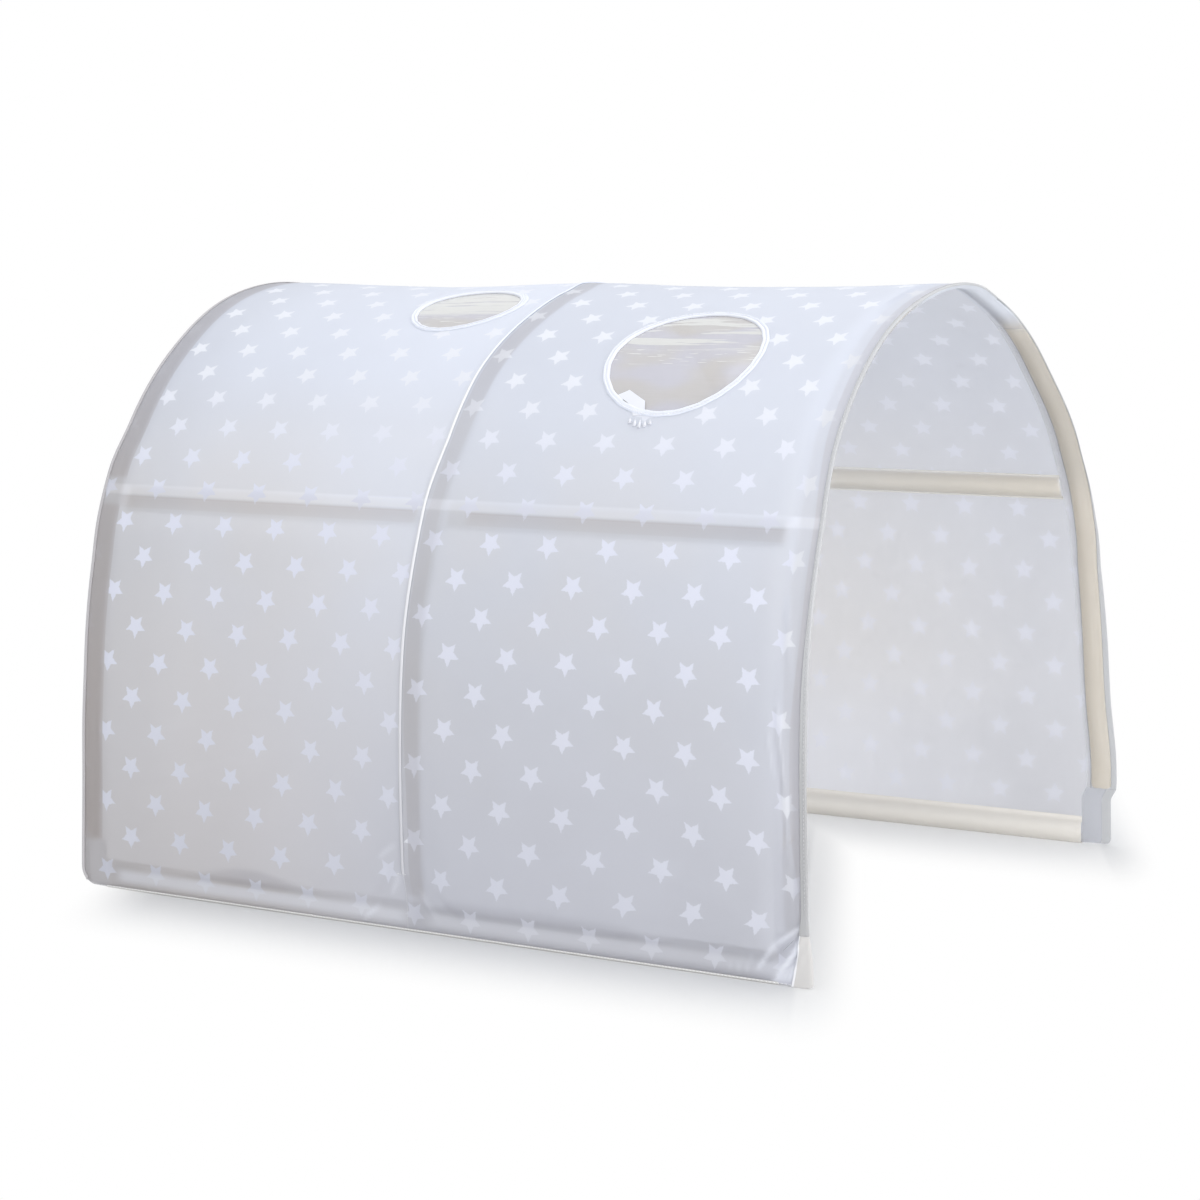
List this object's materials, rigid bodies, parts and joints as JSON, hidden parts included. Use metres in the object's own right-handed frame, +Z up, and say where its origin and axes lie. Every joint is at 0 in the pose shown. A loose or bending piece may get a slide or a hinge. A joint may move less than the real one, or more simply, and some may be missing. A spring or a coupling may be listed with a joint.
{
  "type": "bed tunnel",
  "caption": "Arched cloth tunnel that stands on a bed: two printed panels over bent wooden laths, straight slats in pockets and hems, and round clear windows.",
  "frame": {"origin": "on the mattress, under the middle of the tunnel", "axes": "+X through the tunnel towards the mouth with the larger window, -Y towards the wall with the windows, +Z up"},
  "size_m": [1.037, 0.9026, 0.7553],
  "materials": {
    "printed_cloth": "thin pale bluish-grey cotton with a white star print",
    "white_tape": "white cotton tape and binding",
    "wood": "planed pale wood",
    "clear_film": "soft clear film"
  },
  "bodies": {
    "cover": {"cover_left": "printed_cloth", "cover_right": "printed_cloth", "seam_piping": "white_tape", "mouth_casing_left": "white_tape", "mouth_casing_right": "white_tape", "middle_casing": "white_tape", "corner_flap_left_near": "white_tape", "corner_flap_left_far": "white_tape", "corner_flap_right_near": "white_tape", "corner_flap_right_far": "white_tape", "hem_casing_near": "white_tape", "hem_casing_far": "white_tape", "slat_pocket_left_near": "white_tape", "slat_pocket_left_far": "white_tape", "slat_pocket_right_near": "white_tape", "slat_pocket_right_far": "white_tape", "window_film_left": "clear_film", "window_film_right": "clear_film", "window_rim_left": "white_tape", "window_rim_right": "white_tape", "arch_lath_left": "wood", "arch_lath_middle": "wood", "arch_lath_right": "wood"},
    "raised_slat_left_near": {"raised_slat_left_near": "wood"},
    "raised_slat_left_far": {"raised_slat_left_far": "wood"},
    "raised_slat_right_near": {"raised_slat_right_near": "wood"},
    "raised_slat_right_far": {"raised_slat_right_far": "wood"},
    "hem_slat_left_near": {"hem_slat_left_near": "wood"},
    "hem_slat_left_far": {"hem_slat_left_far": "wood"},
    "hem_slat_right_near": {"hem_slat_right_near": "wood"},
    "hem_slat_right_far": {"hem_slat_right_far": "wood"}
  },
  "joints": [
    {"name": "pull_out_right_near", "type": "slide", "parent": "cover", "child": "hem_slat_right_near", "axis": [1, 0, 0], "range_m": [0, 0.41]},
    {"name": "pull_out_right_far", "type": "slide", "parent": "cover", "child": "hem_slat_right_far", "axis": [1, 0, 0], "range_m": [0, 0.41]},
    {"name": "pull_out_left_near", "type": "slide", "parent": "cover", "child": "hem_slat_left_near", "axis": [-1, 0, 0], "range_m": [0, 0.41]},
    {"name": "pull_out_left_far", "type": "slide", "parent": "cover", "child": "hem_slat_left_far", "axis": [-1, 0, 0], "range_m": [0, 0.41]},
    {"name": "shift_right_near", "type": "slide", "parent": "cover", "child": "raised_slat_right_near", "axis": [1, 0, 0], "range_m": [-0.0038, 0.0038]},
    {"name": "shift_right_far", "type": "slide", "parent": "cover", "child": "raised_slat_right_far", "axis": [1, 0, 0], "range_m": [-0.0038, 0.0038]},
    {"name": "shift_left_near", "type": "slide", "parent": "cover", "child": "raised_slat_left_near", "axis": [-1, 0, 0], "range_m": [-0.0038, 0.0038]},
    {"name": "shift_left_far", "type": "slide", "parent": "cover", "child": "raised_slat_left_far", "axis": [-1, 0, 0], "range_m": [-0.0038, 0.0038]}
  ]
}
